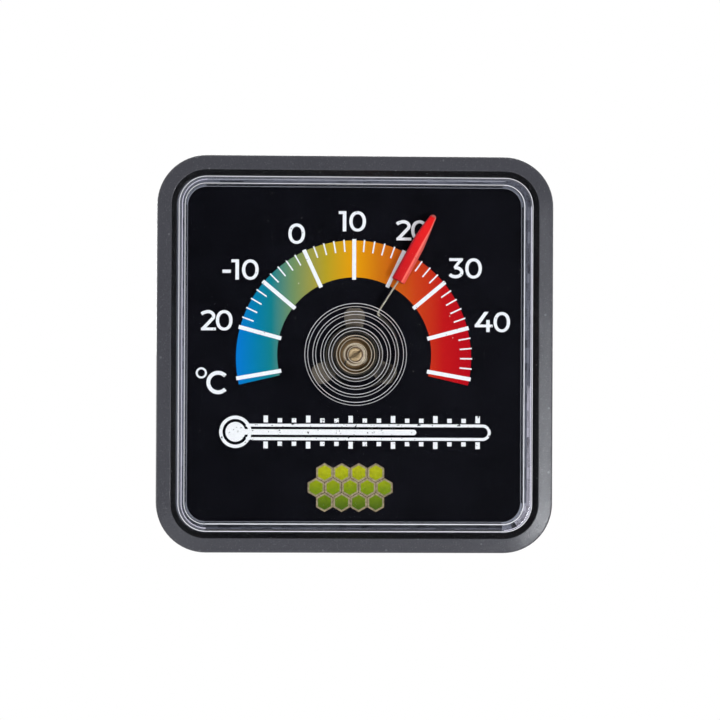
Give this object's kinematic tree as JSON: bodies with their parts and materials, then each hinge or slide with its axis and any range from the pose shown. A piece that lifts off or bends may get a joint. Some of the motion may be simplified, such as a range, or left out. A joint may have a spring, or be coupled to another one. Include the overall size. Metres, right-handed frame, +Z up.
{
  "type": "dial thermometer",
  "caption": "Square stick-on dial thermometer: clear lens over a printed Celsius dial, with a red pointer turned by a bimetal coil.",
  "frame": {"origin": "middle of the adhesive pad's rear face, on the pointer's axis", "axes": "+Z is up the dial towards 12 o'clock, the dial faces -Y, and +X is to the right as seen from the front; +Y is out of the adhesive face, along the shortest side"},
  "size_m": [0.06, 0.0125, 0.06],
  "materials": {
    "housing_plastic": "dark grey, finely grained ABS",
    "lens_plastic": "clear gloss polystyrene",
    "dial_print": "black satin print with a coloured scale and white numerals",
    "carrier_metal": "stamped, dull",
    "post_brass": "turned",
    "spring_steel": "plain",
    "bimetal_strip": "rolled strip",
    "flag_plastic": "red, satin",
    "cover_plastic": "black ABS",
    "foam_tape": "off-white adhesive foam"
  },
  "bodies": {
    "root": {"housing": "housing_plastic", "lens": "lens_plastic", "dial_plate": "dial_print", "coil_carrier": "carrier_metal", "friction_washer": "spring_steel", "back_cover": "cover_plastic", "adhesive_pad": "foam_tape"},
    "hub": {"centre_post": "post_brass", "retaining_ring": "spring_steel", "bimetal_coil": "bimetal_strip"},
    "pointer": {"pointer_arm": "bimetal_strip", "pointer_flag": "flag_plastic"}
  },
  "joints": [
    {"name": "calibration_turn", "type": "hinge", "parent": "root", "child": "hub", "pos_m": [0, 0, 0], "axis": [0, 1, 0], "range_deg": [-25, 25]},
    {"name": "pointer_sweep", "type": "hinge", "parent": "hub", "child": "pointer", "pos_m": [0, 0, 0], "axis": [0, 1, 0], "range_deg": [-128.3, 71.7], "stiffness_Nm_per_rad": 0.0005, "deforming": ["bimetal_coil"]}
  ]
}
